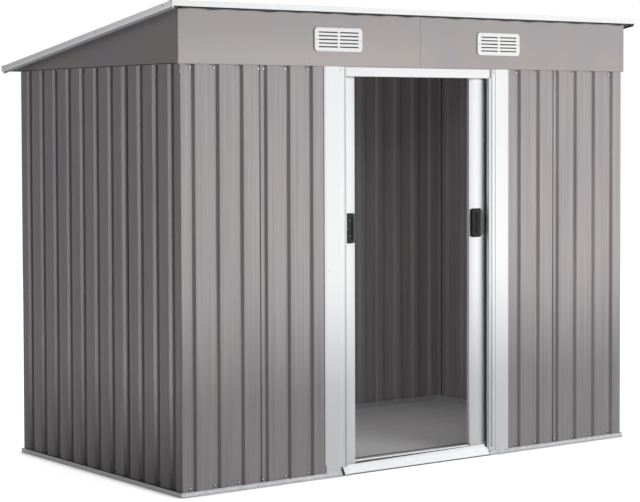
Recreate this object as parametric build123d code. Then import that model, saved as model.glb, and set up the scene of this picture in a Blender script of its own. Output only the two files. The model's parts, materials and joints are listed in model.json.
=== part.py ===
from build123d import *
import os
from math import atan2, cos, hypot, radians, sin, tan

# Lean-to metal storage shed: ribbed sheet walls, a ribbed roof that falls to the back, and two doors that
# slide apart behind the front wall. Millimetres, X to the right along the front, Y to the back, Z up.
# The origin is the middle of the roof's outline, on the ground.

# Overall sizes of the building
wall_width = 2070.0
wall_depth = 1127.0
wall_height = 1458.0
roof_side_overhang = 50.0
roof_front_overhang = 33.0
roof_rear_overhang = 63.0
roof_front_rise = 210.0
roof_rear_rise = 21.0

# Ribbed sheet: raised ridges with narrow valleys between them
sheet_thickness = 1.5
rib_depth = 10.0
rib_slope_run = 6.0
ridge_width = 60.0
front_rib_pitch = 98.4
front_first_ridge = 88.0
side_rib_pitch = 100.5
side_first_ridge = 106.5
roof_rib_pitch = 120.6
roof_first_ridge = 0.0
sheet_tuck = 12.0
folded_radius = 1.0
bend_share = 0.45

# Floor rails, floor and corner posts
rail_thickness = 1.5
rail_toe = 8.0
rail_lip_height = 16.0
rail_leg_height = 42.0
floor_thickness = 20.0
floor_clearance = 0.3
post_leg = 24.0
post_thickness = 1.5

# Rails along the tops of the walls, and roof beams
front_rail_drop = 30.0
top_rail_rise = 22.0
top_rail_flange = 30.0
front_rail_flange = 50.0
beam_thickness = 1.5
beam_depth = 40.0
beam_flange = 40.0
front_beam_drop = 46.0
middle_beam_place = 560.0

# Doorway, jambs and header
doorway_width = 674.0
header_height = 34.0
jamb_flat_width = 64.0
jamb_lip_width = 29.0
jamb_step_run = 3.0
jamb_step = 3.0
jamb_proud = 4.0
jamb_tuck = 22.0
header_proud = 1.0
header_back_lip = 3.0
folded_thickness = 1.5

# Fascia and gables above the walls
fascia_proud = 5.0
fascia_gap = 4.0
gable_proud = 11.5
gable_flange = 20.0
edge_fit = 0.3

# Vents in the fascia
vent_width = 212.0
vent_height = 85.0
vent_offset = 378.0
vent_proud = 6.0
vent_corner_radius = 14.0
vent_edge_radius = 2.0
vent_margin = 18.0
vent_middle_bar = 10.0
vent_slot_count = 5
vent_slot_pitch = 12.8
vent_slot_height = 7.0
vent_slot_rise = 7.0
vent_hole_inset = 10.0
vent_blade_thickness = 1.6

# Roof edge trims
trim_thickness = 1.5
trim_top_flange = 26.0
end_trim_height = 20.0
side_trim_web = 16.0
side_trim_lip_drop = 13.0
side_trim_lip_run = 9.0

# Sliding doors, open at rest
door_width = 400.0
door_depth = 21.0
door_setback = 25.0
door_bottom_height = 46.0
door_track_gap = 8.0
left_door_edge = -276.0
right_door_edge = 267.5
stile_width = 70.0
stile_bow = 8.0
door_rail_height = 30.0
door_trailing_width = 26.0
door_skin_thickness = 1.5

# Upper track, hangers and rollers
track_thickness = 1.5
track_width = 34.0
track_height = 32.5
track_slot = 12.0
track_length = 1440.0
hanger_thickness = 3.0
hanger_width = 30.0
hanger_inset = 60.0
hanger_foot = 20.0
roller_radius = 11.0
roller_width = 8.0
roller_gap = 0.3
hanger_over_axle = 6.0

# Lower track, guides and the sill ramp
lower_track_front = 15.0
lower_track_width = 43.0
lower_track_edge_height = 7.5
guide_lip_height = 21.0
guide_clearance = 1.25
guide_length = 24.0
guide_width = 15.0
guide_drop = 15.0
guide_web = 2.0
ramp_foot_height = 2.4
ramp_run = 19.0
ramp_end_clearance = 1.0

# Pull handles
handle_width = 50.0
handle_height = 108.0
handle_proud = 4.0
handle_edge_inset = 11.0
handle_middle_height = 881.0
handle_near_corner = 2.0
handle_far_corner = 15.0
pull_width = 14.0
pull_edge_inset = 5.0
pull_height = 78.0
pull_depth = 3.0
handle_core_overlap = 1.0

# Worked out from the sizes above
roof_width = wall_width + 2 * roof_side_overhang
roof_depth = wall_depth + roof_front_overhang + roof_rear_overhang
left_x = -wall_width / 2
right_x = wall_width / 2
front_y = -roof_depth / 2 + roof_front_overhang
rear_y = front_y + wall_depth
roof_front_y = -roof_depth / 2
roof_front_height = wall_height + roof_front_rise
roof_rear_height = wall_height + roof_rear_rise
roof_angle = atan2(roof_front_height - roof_rear_height, roof_depth)
roof_length = hypot(roof_front_height - roof_rear_height, roof_depth)
sheet_inside = rib_depth + sheet_thickness
sheet_bottom = rail_thickness + folded_radius
sheet_top = wall_height + sheet_tuck
rail_inside = sheet_inside + rail_thickness
jamb_width = jamb_flat_width + jamb_step_run + jamb_lip_width
door_middle = door_setback + door_depth / 2
door_back = door_setback + door_depth
front_rail_bottom = wall_height - front_rail_drop
top_rail_top = wall_height + top_rail_rise
track_bottom = top_rail_top - rail_thickness - track_height
door_top_height = track_bottom - door_track_gap


def roof_top(y):
    """Height of the plane over the roof's trims at a depth y."""
    return roof_front_height - (y - roof_front_y) * tan(roof_angle)


def roof_under(y):
    """Height of the underside of the roof sheet's valleys at a depth y."""
    return roof_top(y) - (trim_thickness + rib_depth + sheet_thickness) / cos(roof_angle)


fascia_top = roof_under(front_y - fascia_proud) - fascia_gap
vent_middle_height = (wall_height + fascia_top) / 2


def folded(path, thickness):
    """Outline of a bent strip, with a radius at each bend: the path is its outer face, and the thickness lies
    to the left of it."""
    outer = []
    inner = []
    for i, (a, b) in enumerate(path):
        normals = []
        for start, end in ((i - 1, i), (i, i + 1)):
            if start < 0 or end >= len(path):
                continue
            da = path[end][0] - path[start][0]
            db = path[end][1] - path[start][1]
            length = hypot(da, db)
            normals.append((-db / length, da / length))
        first = normals[0]
        last = normals[-1]
        share = thickness / (1 + first[0] * last[0] + first[1] * last[1])
        turn = first[0] * last[1] - first[1] * last[0]
        small = folded_radius if turn else 0.0
        large = folded_radius + thickness if turn else 0.0
        outer.append((a, b, large if turn > 0 else small))
        inner.append((a + (first[0] + last[0]) * share, b + (first[1] + last[1]) * share,
                      small if turn > 0 else large))
    return outer + inner[::-1]


def ribbed(length, pitch, first_ridge):
    """Outline of a ribbed sheet: distance along it against depth inwards, with its bends mitred."""
    narrower = sheet_thickness * tan(atan2(rib_depth, rib_slope_run) / 2)

    def face(level, half_ridge):
        def depth_at(u):
            away = abs((u - first_ridge + pitch / 2) % pitch - pitch / 2)
            return level + rib_depth * min(1.0, max(0.0, (away - half_ridge) / rib_slope_run))
        places = [0.0, length]
        ridge = first_ridge - pitch * int(first_ridge / pitch + 1)
        while ridge < length + pitch:
            for reach in (half_ridge, half_ridge + rib_slope_run):
                places += [u for u in (ridge - reach, ridge + reach) if 0.0 < u < length]
            ridge += pitch
        return [(u, depth_at(u)) for u in sorted(places)]
    return face(0.0, ridge_width / 2) + face(sheet_thickness, ridge_width / 2 - narrower)[::-1]


def rounded(points):
    """Face within the points, given as (a, b) or, where the corner is round, (a, b, radius)."""
    corners = [Vector(point[0], point[1]) for point in points]
    radii = [point[2] if len(point) > 2 else 0.0 for point in points]
    edges = []
    end = corners[-1]
    for before, corner, after, radius in zip([end] + corners[:-1], corners, corners[1:] + corners[:1], radii):
        back = (before - corner).normalized()
        ahead = (after - corner).normalized()
        start = corner
        if radius:
            half = radians(back.get_angle(ahead)) / 2
            # A bend takes up less than half of the shorter run beside it
            reach = min(radius / tan(half), bend_share * (before - corner).length,
                        bend_share * (after - corner).length)
            start = corner + back * reach
            middle = corner + (back + ahead).normalized() * reach * (1 / cos(half) - tan(half))
            edges.append(Line(end, start))
            end = corner + ahead * reach
            edges.append(ThreePointArc(start, middle, end))
        else:
            edges.append(Line(end, start))
            end = corner
    if radii[-1]:
        edges[0] = Line(end, edges[0] @ 1)
    return make_face(edges)


def prism(points, plane, length):
    """Solid with the outline of the points, drawn on the plane and drawn out along its normal."""
    return extrude(plane * rounded(points), amount=length, dir=plane.z_dir)


def along_x(points, x_start, x_end):
    """Prism along X from points given as (y, z)."""
    return prism(points, Plane((x_start, 0, 0), x_dir=(0, 1, 0), z_dir=(1, 0, 0)), x_end - x_start)


def along_y(points, y_start, y_end):
    """Prism along Y from points given as (x, z)."""
    return prism(points, Plane((0, y_end, 0), x_dir=(1, 0, 0), z_dir=(0, -1, 0)), y_end - y_start)


def along_z(points, z_start, z_end):
    """Prism along Z from points given as (x, y)."""
    return prism(points, Plane((0, 0, z_start), x_dir=(1, 0, 0), z_dir=(0, 0, 1)), z_end - z_start)


def block(x_start, x_end, y_start, y_end, z_start, z_end):
    """Block between two corners."""
    size = Box(x_end - x_start, y_end - y_start, z_end - z_start)
    return Pos((x_start + x_end) / 2, (y_start + y_end) / 2, (z_start + z_end) / 2) * size


def from_front(points):
    """Points given as (inwards from the front wall, z), with or without a radius, as (y, z)."""
    return [(front_y + point[0], *point[1:]) for point in points]


def from_rear(points):
    """Points given as (inwards from the rear wall, z), with or without a radius, as (y, z)."""
    return [(rear_y - point[0], *point[1:]) for point in points]


def mirrored(solid):
    """The piece's opposite number on the other side of the shed."""
    return mirror(solid, Plane.YZ)


def framed(length_half, reach, outer):
    """Plan of one side of a mitred frame, as (along, inwards): 45 degree ends from the outer corners."""
    return [(-length_half, -outer), (length_half, -outer), (length_half - reach, reach - outer),
            (-length_half + reach, reach - outer)]


# Floor rails: channels that the wall sheets stand in, mitred at the corners

rail_section = folded([(-rail_toe, rail_lip_height), (-rail_toe, 0.0), (rail_inside, 0.0),
                       (rail_inside, rail_leg_height)], rail_thickness)
rail_reach = rail_toe + rail_inside
half_width = wall_width / 2 + rail_toe
half_depth = wall_depth / 2 + rail_toe
middle_y = (front_y + rear_y) / 2


def base_rails():
    front = along_x(from_front(rail_section), -half_width, half_width)
    front_plan = [(a, front_y + b) for a, b in framed(half_width, rail_reach, rail_toe)]
    front &= along_z(front_plan, 0, rail_leg_height)
    # Across the doorway only the bottom of the channel runs on, under the sill
    front -= block(-doorway_width / 2, doorway_width / 2, front_y - rail_toe, front_y + rail_inside,
                   rail_thickness, rail_leg_height)
    rear = along_x(from_rear(rail_section), -half_width, half_width)
    rear_plan = [(a, rear_y - b) for a, b in framed(half_width, rail_reach, rail_toe)]
    rear &= along_z(rear_plan, 0, rail_leg_height)
    left = along_y([(left_x + v, z, r) for v, z, r in rail_section], middle_y - half_depth,
                   middle_y + half_depth)
    left_plan = [(left_x + b, middle_y + a) for a, b in framed(half_depth, rail_reach, rail_toe)]
    left &= along_z(left_plan, 0, rail_leg_height)
    return {"base_rail_front": front, "base_rail_rear": rear, "base_rail_left": left,
            "base_rail_right": mirrored(left)}


# Floor inside the rails

def floor_panel():
    edge = rail_inside + floor_clearance
    return block(left_x + edge, right_x - edge, front_y + edge, rear_y - edge, 0, floor_thickness)


# Wall sheets, which stand in the rails and end behind the fascia, the gables and the roof's rear edge. The rear
# wall is laid out as the front is and the right wall as the left is, both turned half round.

def wall_sheets():
    half_door = doorway_width / 2 + jamb_width - jamb_tuck
    left_length = wall_width / 2 - half_door
    ridge_right = front_first_ridge - (wall_width - left_length)
    left = [(left_x + u, front_y + v) for u, v in ribbed(left_length, front_rib_pitch, front_first_ridge)]
    right = [(half_door + u, front_y + v) for u, v in ribbed(left_length, front_rib_pitch, ridge_right)]
    rear = [(right_x - u, rear_y - v) for u, v in ribbed(wall_width, front_rib_pitch, front_first_ridge)]
    side = ribbed(wall_depth - 2 * sheet_thickness, side_rib_pitch, side_first_ridge - sheet_thickness)
    left_side = [(left_x + v, front_y + sheet_thickness + u) for u, v in side]
    right_side = [(right_x - v, rear_y - sheet_thickness - u) for u, v in side]
    return {"front_wall_left": along_z(left, sheet_bottom, sheet_top),
            "front_wall_right": along_z(right, sheet_bottom, sheet_top),
            "rear_wall": along_z(rear, sheet_bottom, sheet_top),
            "left_wall": along_z(left_side, sheet_bottom, sheet_top),
            "right_wall": along_z(right_side, sheet_bottom, sheet_top)}


# Corner posts: narrow angles in the walls' corners, from the floor rails up to the rails over them

def corner_posts(corner_y, inwards, top):
    start = (left_x + sheet_inside, corner_y + inwards * sheet_inside)
    inner = (start[0] + post_thickness, start[1] + inwards * post_thickness)
    plan = [start, (start[0] + post_leg, start[1]), (start[0] + post_leg, inner[1]), inner,
            (inner[0], start[1] + inwards * post_leg), (start[0], start[1] + inwards * post_leg)]
    post = along_z(plan, rail_leg_height, top)
    return Compound([post, mirrored(post)])


# Rails along the wall tops

def top_rails():
    front = folded([(sheet_inside + front_rail_flange, top_rail_top), (sheet_inside, top_rail_top),
                    (sheet_inside, front_rail_bottom)], rail_thickness)
    front = along_x(from_front(front), left_x + sheet_inside, right_x - sheet_inside)
    flange_end = sheet_inside + top_rail_flange
    rear = folded([(flange_end, roof_under(rear_y - flange_end)),
                   (sheet_inside, roof_under(rear_y - sheet_inside)), (sheet_inside, wall_height)],
                  rail_thickness)
    rear = along_x(from_rear(rear), left_x + sheet_inside, right_x - sheet_inside)
    side = folded([(flange_end, top_rail_top), (sheet_inside, top_rail_top), (sheet_inside, wall_height)],
                  rail_thickness)
    left = along_y([(left_x + v, z, r) for v, z, r in side], front_y + sheet_inside + front_rail_flange,
                   rear_y - flange_end)
    return {"top_rail_front": front, "top_rail_rear": rear, "top_rail_left": left,
            "top_rail_right": mirrored(left)}


# Door jambs: folded posts with a flat front, a small step and a return towards the door

def left_jamb():
    inner = -doorway_width / 2
    outer = inner - jamb_width
    path = [(outer, 0.0), (outer, -jamb_proud), (outer + jamb_flat_width, -jamb_proud),
            (inner - jamb_lip_width, -jamb_proud + jamb_step), (inner, -jamb_proud + jamb_step),
            (inner, sheet_inside)]
    plan = [(x, front_y + v, r) for x, v, r in folded(path, folded_thickness)]
    return along_z(plan, sheet_bottom, wall_height)


def door_header():
    bottom = wall_height - header_height
    path = [(sheet_inside, wall_height), (-header_proud, wall_height), (-header_proud, bottom),
            (sheet_inside, bottom), (sheet_inside, bottom + header_back_lip)]
    return along_x(from_front(folded(path, folded_thickness)), -doorway_width / 2, doorway_width / 2)


# Fascia over the front wall, in two lengths, with a hole behind each vent

def left_fascia():
    path = [(-fascia_proud, fascia_top), (-fascia_proud, wall_height), (0.0, wall_height)]
    fascia = along_x(from_front(folded(path, folded_thickness)), left_x - gable_proud, 0)
    # The end turns the corner, as far as the gable
    fascia += block(left_x - gable_proud, left_x - gable_proud + folded_thickness, front_y - fascia_proud,
                    front_y, wall_height, fascia_top)
    return fascia - vent_hole()


def vent_hole():
    half_width = vent_width / 2 - vent_hole_inset
    half_height = vent_height / 2 - vent_hole_inset
    return block(-vent_offset - half_width, -vent_offset + half_width, front_y - fascia_proud,
                 front_y, vent_middle_height - half_height, vent_middle_height + half_height)


# Louvred vents: two columns of slots, each under a blade that leans out at its foot

def left_vent():
    plate = Rectangle(vent_width, vent_height)
    plate = extrude(fillet(plate.vertices(), vent_corner_radius), amount=vent_proud)
    plate = fillet(plate.faces().sort_by(Axis.Z)[-1].edges(), vent_edge_radius)
    column = (vent_width - 2 * vent_margin - vent_middle_bar) / 2
    for side in (-1, 1):
        middle = side * (vent_middle_bar + column) / 2
        for i in range(vent_slot_count):
            height = ((vent_slot_count - 1) / 2 - i) * vent_slot_pitch
            # Each slot rises towards the back, so that it sheds the rain
            slot = [(0.0, height + vent_slot_rise - vent_slot_height / 2),
                    (0.0, height + vent_slot_rise + vent_slot_height / 2 - vent_blade_thickness),
                    (vent_proud, height + vent_slot_height / 2 - vent_blade_thickness),
                    (vent_proud, height - vent_slot_height / 2)]
            cut = Plane((middle - column / 2, 0, 0), x_dir=(0, 0, 1), z_dir=(1, 0, 0))
            cut_points = [(a, -b) for a, b in slot]
            plate -= prism(cut_points, cut, column)
    place = Plane((-vent_offset, front_y - fascia_proud, vent_middle_height), x_dir=(1, 0, 0),
                  z_dir=(0, -1, 0))
    return place * plate


# Gables: flat side sheets from the fascia to the rear, flanged under the roof

def left_gable():
    start = front_y
    outer = left_x - gable_proud
    end = rear_y
    rise = roof_under(end)
    side = [(start, wall_height), (end, wall_height), (end, rise), (start, roof_under(start))]
    sheet = along_x(side, outer, outer + folded_thickness)
    foot = block(outer + folded_thickness, left_x, start, end, wall_height, wall_height + folded_thickness)
    drop = folded_thickness / cos(roof_angle)
    flange = [(start, roof_under(start)), (end, rise), (end, rise - drop), (start, roof_under(start) - drop)]
    return sheet + foot + along_x(flange, outer + folded_thickness, outer + gable_flange)


# Roof beams: an angle behind the fascia and a channel across the middle, both under the sheet's valleys

def roof_beams():
    web = front_y - fascia_proud + folded_thickness
    reach = wall_width / 2 + gable_proud - gable_flange
    path = [(web + beam_flange, roof_under(web + beam_flange)), (web, roof_under(web)),
            (web, roof_under(web) - front_beam_drop)]
    front = along_x(folded(path, beam_thickness), -reach, reach)
    near = front_y + middle_beam_place
    far = near + beam_flange
    path = [(far, roof_under(far)), (near, roof_under(near)), (near, roof_under(near) - beam_depth),
            (far, roof_under(far) - beam_depth)]
    middle = along_x(folded(path, beam_thickness), -reach, reach)
    return Compound([front, middle])


# Roof sheets, laid on the fall of the roof

def roof_plane(x, along, down):
    """Plane across the roof's fall, at a distance along it and below the trims' top."""
    y = roof_front_y + along * cos(roof_angle) - down * sin(roof_angle)
    z = roof_front_height - along * sin(roof_angle) - down * cos(roof_angle)
    return Plane((x, y, z), x_dir=(1, 0, 0), z_dir=(0, cos(roof_angle), -sin(roof_angle)))


def roof_panel(side):
    edge = roof_width / 2 - trim_thickness - folded_radius
    start = -edge if side < 0 else 0.0
    points = ribbed(edge, roof_rib_pitch, roof_first_ridge - start)
    sheet = prism(points, roof_plane(start, 0, trim_thickness), roof_length + rib_depth)
    return sheet & between_edge_trims()


def between_edge_trims():
    """The space between the front and the rear trim, clear of the radius in their bends."""
    clear = trim_thickness + folded_radius + edge_fit
    return block(-roof_width / 2, roof_width / 2, roof_front_y + clear, roof_front_y + roof_depth - clear,
                 wall_height - rib_depth, roof_front_height)


# Roof trims: caps on the front and rear edges, and channels with a slanted lip down the sides

def roof_trims():
    half = roof_width / 2
    front = folded([(roof_front_y + trim_top_flange, roof_top(roof_front_y + trim_top_flange)),
                    (roof_front_y, roof_front_height), (roof_front_y, roof_front_height - end_trim_height)],
                   trim_thickness)
    roof_rear_y = roof_front_y + roof_depth
    rear = folded([(roof_rear_y, roof_rear_height - end_trim_height), (roof_rear_y, roof_rear_height),
                   (roof_rear_y - trim_top_flange, roof_top(roof_rear_y - trim_top_flange))], trim_thickness)
    side = folded([(trim_top_flange, 0.0), (0.0, 0.0), (0.0, side_trim_web),
                   (side_trim_lip_run, side_trim_web + side_trim_lip_drop)][::-1], trim_thickness)
    left = prism(side, roof_plane(-half, 0.0, 0.0), roof_length + rib_depth) & between_edge_trims()
    # Its top flange stops at the flanges of the front and rear trims, and the rest runs on under them
    cut_length = trim_top_flange / cos(roof_angle)
    for along in (0.0, roof_length - cut_length):
        strip = [(0.0, 0.0), (trim_top_flange, 0.0), (trim_top_flange, trim_thickness), (0.0, trim_thickness)]
        left -= prism(strip, roof_plane(-half, along, 0.0), cut_length)
    return {"roof_trim_front": along_x(front, -half, half), "roof_trim_rear": along_x(rear, -half, half),
            "roof_trim_left": left, "roof_trim_right": mirrored(left)}


# Tracks and sill

def upper_track():
    bottom = track_bottom
    top = track_bottom + track_height
    near = door_middle - track_width / 2
    far = door_middle + track_width / 2
    path = [(door_middle + track_slot / 2, bottom), (far, bottom), (far, top), (near, top), (near, bottom),
            (door_middle - track_slot / 2, bottom)]
    return along_x(from_front(folded(path, track_thickness)), -track_length / 2, track_length / 2)


def lower_track():
    base = floor_thickness
    web = base + track_thickness
    near = lower_track_front
    far = near + lower_track_width
    lip = door_middle - track_thickness / 2
    edge = base + lower_track_edge_height
    points = [(near, base), (far, base), (far, edge), (far - track_thickness, edge),
              (far - track_thickness, web), (lip + track_thickness, web),
              (lip + track_thickness, base + guide_lip_height),
              (lip, base + guide_lip_height), (lip, web), (near + track_thickness, web),
              (near + track_thickness, edge), (near, edge)]
    return along_x(from_front(points), -track_length / 2, track_length / 2)


def sill_ramp():
    top = floor_thickness + lower_track_edge_height + folded_thickness
    crest = -rail_toe + ramp_run
    path = [(lower_track_front + track_thickness, top), (crest, top), (-rail_toe, ramp_foot_height)]
    half = doorway_width / 2 - ramp_end_clearance
    return along_x(from_front(folded(path, folded_thickness)), -half, half)


# Sliding doors, drawn with the meeting edge at x = 0 and the door reaching to -X

def door_stile():
    """Hollow upright with a bowed front, at the edge where the doors meet."""
    near = front_y + door_setback
    far = front_y + door_back
    wall = door_skin_thickness

    def outline(inset):
        left = -stile_width + inset
        right = -inset
        shoulder = near + stile_bow + inset
        bow = ThreePointArc((left, shoulder), ((left + right) / 2, near + inset), (right, shoulder))
        back = Polyline((right, shoulder), (right, far - inset), (left, far - inset), (left, shoulder))
        return make_face([bow, back])
    shell = outline(0.0) - outline(wall)
    height = door_top_height - door_bottom_height
    return Pos(0, 0, door_bottom_height) * extrude(shell, amount=height, dir=(0, 0, 1))


def door_frame():
    """Channel round the other three edges of the door."""
    near = front_y + door_setback + stile_bow
    far = front_y + door_back
    left = -door_width
    right = -stile_width
    outer = block(left, right, near, far, door_bottom_height, door_top_height)
    inner = block(left + door_trailing_width, right, near, far, door_bottom_height + door_rail_height,
                  door_top_height - door_rail_height)
    # The channel is open towards the back
    wall = door_skin_thickness
    bottom = door_bottom_height + wall
    top = door_top_height - wall
    hollow = block(left + wall, right, near + wall, far, bottom, top)
    keep = block(left + door_trailing_width - wall, right, near, far,
                 door_bottom_height + door_rail_height - wall, door_top_height - door_rail_height + wall)
    return (outer - inner) - (hollow - keep)


def door_panel():
    length = door_width - stile_width - door_trailing_width
    start = -door_width + door_trailing_width
    # Its valleys lie level with the back of the frame
    near = front_y + door_back - sheet_inside
    points = [(start + u, near + v) for u, v in ribbed(length, front_rib_pitch, length / 2)]
    return along_z(points, door_bottom_height + door_rail_height, door_top_height - door_rail_height)


def door_runners():
    """Two hangers with their rollers above the door, and two guides under it."""
    axle_height = track_bottom + track_thickness + roller_gap + roller_radius
    middle_y = front_y + door_middle
    solids = []
    for x in (-hanger_inset, -door_width + hanger_inset):
        half = hanger_width / 2
        stem = block(x - half, x + half, middle_y - hanger_thickness / 2, middle_y + hanger_thickness / 2,
                     door_top_height, axle_height + hanger_over_axle)
        foot = block(x - half, x + half, middle_y - hanger_foot / 2, middle_y + hanger_foot / 2,
                     door_top_height, door_top_height + hanger_thickness)
        reach = hanger_thickness / 2 + roller_width
        axle = Plane((x, middle_y - reach, axle_height), z_dir=(0, 1, 0))
        wheels = axle * extrude(Circle(roller_radius), amount=roller_width)
        far_wheel = axle.offset(reach + hanger_thickness / 2)
        wheels += far_wheel * extrude(Circle(roller_radius), amount=roller_width)
        solids.append(stem + foot + wheels)
        slot = track_thickness / 2 + guide_clearance
        guide = block(x - guide_length / 2, x + guide_length / 2, middle_y - guide_width / 2,
                      middle_y + guide_width / 2, door_bottom_height - guide_drop, door_bottom_height)
        guide -= block(x - guide_length, x + guide_length, middle_y - slot, middle_y + slot,
                       door_bottom_height - guide_drop, door_bottom_height - guide_web)
        solids.append(guide)
    return Compound(solids)


def door_handle():
    """Plate on the bowed front of the stile, with its far corners cut and a finger pull along the near edge."""
    face = front_y + door_setback - handle_proud
    seat = front_y + door_setback + stile_bow
    plate = Rectangle(handle_width, handle_height)
    plate = chamfer(plate.vertices().sort_by(Axis.X)[:2], handle_far_corner)
    plate = chamfer(plate.vertices().sort_by(Axis.X)[-2:], handle_near_corner)
    x = -handle_edge_inset - handle_width / 2
    place = Plane((x, seat, handle_middle_height), x_dir=(1, 0, 0), z_dir=(0, -1, 0))
    body = place * extrude(plate, amount=seat - face)
    pull_edge = -handle_edge_inset - pull_edge_inset
    pull = block(pull_edge - pull_width, pull_edge, face, face + pull_depth,
                 handle_middle_height - pull_height / 2, handle_middle_height + pull_height / 2)
    near = front_y + door_setback
    full = -stile_width
    back = seat + handle_core_overlap
    bow = ThreePointArc((full, seat), (full / 2, near), (0, seat))
    core = make_face([bow, Polyline((0, seat), (0, back), (full, back), (full, seat))])
    core = Pos(0, 0, door_bottom_height) * extrude(core, amount=door_top_height, dir=(0, 0, 1))
    return (body - pull) - core


def doors():
    pieces = {"door_panel": door_panel(), "door_stile": door_stile(), "door_frame": door_frame(),
              "door_runners": door_runners(), "door_handle": door_handle()}
    found = {}
    for name, piece in pieces.items():
        found["left_" + name] = Pos(left_door_edge, 0, 0) * piece
        found["right_" + name] = Pos(right_door_edge, 0, 0) * mirrored(piece)
    return found


def all_pieces():
    pieces = {}
    pieces.update(base_rails())
    pieces["floor_panel"] = floor_panel()
    pieces.update(wall_sheets())
    pieces["front_corner_posts"] = corner_posts(front_y, 1, front_rail_bottom)
    pieces["rear_corner_posts"] = corner_posts(rear_y, -1, wall_height)
    pieces.update(top_rails())
    pieces["left_jamb"] = left_jamb()
    pieces["right_jamb"] = mirrored(left_jamb())
    pieces["door_header"] = door_header()
    pieces["fascia_left"] = left_fascia()
    pieces["fascia_right"] = mirrored(left_fascia())
    pieces["vent_left"] = left_vent()
    pieces["vent_right"] = mirrored(left_vent())
    pieces["left_gable"] = left_gable()
    pieces["right_gable"] = mirrored(left_gable())
    pieces["roof_beams"] = roof_beams()
    pieces["roof_panel_left"] = roof_panel(-1)
    pieces["roof_panel_right"] = roof_panel(1)
    pieces.update(roof_trims())
    pieces["door_track_top"] = upper_track()
    pieces["door_track_bottom"] = lower_track()
    pieces["sill_ramp"] = sill_ramp()
    pieces.update(doors())
    return pieces


os.makedirs("parts", exist_ok=True)
for node_name, node in all_pieces().items():
    export_step(node, "parts/" + node_name + ".step")
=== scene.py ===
import json
import math

import bpy
import numpy as np
from mathutils import Matrix, Vector


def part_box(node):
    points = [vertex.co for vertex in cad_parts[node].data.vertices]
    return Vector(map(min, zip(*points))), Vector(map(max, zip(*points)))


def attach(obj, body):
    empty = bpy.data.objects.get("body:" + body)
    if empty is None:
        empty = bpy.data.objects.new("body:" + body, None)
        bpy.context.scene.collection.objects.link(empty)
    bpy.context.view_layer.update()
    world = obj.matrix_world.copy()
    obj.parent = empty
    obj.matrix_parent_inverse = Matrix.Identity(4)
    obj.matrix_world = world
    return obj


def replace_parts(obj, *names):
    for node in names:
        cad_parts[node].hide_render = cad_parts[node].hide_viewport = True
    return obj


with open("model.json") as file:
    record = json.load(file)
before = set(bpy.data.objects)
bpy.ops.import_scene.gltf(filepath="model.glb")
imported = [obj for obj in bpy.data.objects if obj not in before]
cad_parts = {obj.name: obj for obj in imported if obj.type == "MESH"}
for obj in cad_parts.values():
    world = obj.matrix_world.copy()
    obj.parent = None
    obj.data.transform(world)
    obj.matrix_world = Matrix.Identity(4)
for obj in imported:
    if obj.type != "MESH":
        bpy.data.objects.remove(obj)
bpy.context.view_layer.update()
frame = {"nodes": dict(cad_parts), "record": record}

# Looks of a lean-to metal shed: ribbed sheets with rolled bends, laps and screws, folded white trims, louvred
# vents and two sliding doors. Metres, +X to the right along the front, +Y to the back, +Z up.

# Ribbed sheets: the ridges stand a little out from the frame's, so that the sheet is as deep as it looks
RIB_DEPTH = 0.012
ROOF_RIB_DEPTH = 0.010
RIB_SLOPE_RUN = 0.007
RIDGE_OUT = 0.0015
RIDGE_WIDTH = 0.060
FRONT_PITCH = 0.0984
FRONT_RIDGE = 0.088
SIDE_PITCH = 0.1005
SIDE_RIDGE = 0.1065
ROOF_PITCH = 0.1206
SHEET = 0.0008
BEND_RADIUS = 0.0020
BEND_STEPS = 4

# Where one sheet laps over the next, from the wall's own left corner or from the front
FRONT_LAPS = (0.331, 1.712)
REAR_LAPS = (0.331, 1.020, 1.713)
SIDE_LAPS = (0.356,)
LAP_WIDTH = 0.012
LAP_RISE = 0.0035
LAP_RAMP = 0.030

# Screws, and the rubber washers under those that hold the sheets
HEAD_RADIUS = 0.0029
HEAD_HEIGHT = 0.0019
WASHER_RADIUS = 0.0040
WASHER_HEIGHT = 0.0008
RUBBER_RADIUS = 0.0058
RUBBER_HEIGHT = 0.0008
ROUNDING = 0.0003
RECESS_HALF_WIDTH = 0.0006
RECESS_REACH = 0.0026
RECESS_DEPTH = 0.0011

# Walls' two rows of screws: heights, and the top row's places from the front wall's left corner
LOW_SCREWS = 0.025
HIGH_SCREWS = 1.446
REAR_SCREW_DROP = 0.040
HIGH_SCREW_PLACES = (0.045, 0.143, 0.3245, 0.3435, 0.438, 0.534, 1.519, 1.6995, 1.815, 2.010)
SCREW_INSET = 0.020
SIDE_CORNER_SCREW = 0.036

# Fall of the roof to its rear edge, the height of its front edge, and how far the trims lie under it
ROOF_FALL = 0.189
ROOF_TOP = 1.668
TRIM_DROP = 0.0004
TRIM_GAUGE = 0.0015
ROOF_SCREW_INSET = 0.055

# Roof's side trims: the joint's place, the screw's place and height, and the depths where the lower lip's
# painted shade begins
TRIM_JOINT = -0.1075
JOINT_HALF_WIDTH = 0.0016
TRIM_SCREW = (-0.5509, 1.6519)
TRIM_SCREW_RADIUS = 0.0034
TRIM_LIP_SHADE = (0.0205, 0.0220)
TRIM_SHADE_BACK = 0.040
TRIM_SHADE_END = 0.004

# Jambs: the painted shade in each one's crease as a place and a half width, the depth of the edge folded
# back beside the doorway, and the screws as a place in from the outer edge and a height
LEFT_CREASE_SHADE = (-0.3442, 0.0048)
RIGHT_CREASE_SHADE = (0.3500, 0.0100)
CREASE_SHADE_FOOT = 0.03
JAMB_RETURN = 0.0135
JAMB_SCREWS = ((0.070, 1.447), (0.050, 0.025), (0.014, 0.737))
JAMB_LIP_SCREW = (0.018, 1.436)

# Fascia: the screws of its end caps and of its face
CAP_SCREW_INSET = 0.0095
CAP_SCREW_HEIGHTS = (1.548, 1.478)
FASCIA_SCREWS = (0.534, 1.556)
FASCIA_SCREW_HEIGHTS = (1.622, 1.482)
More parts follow.
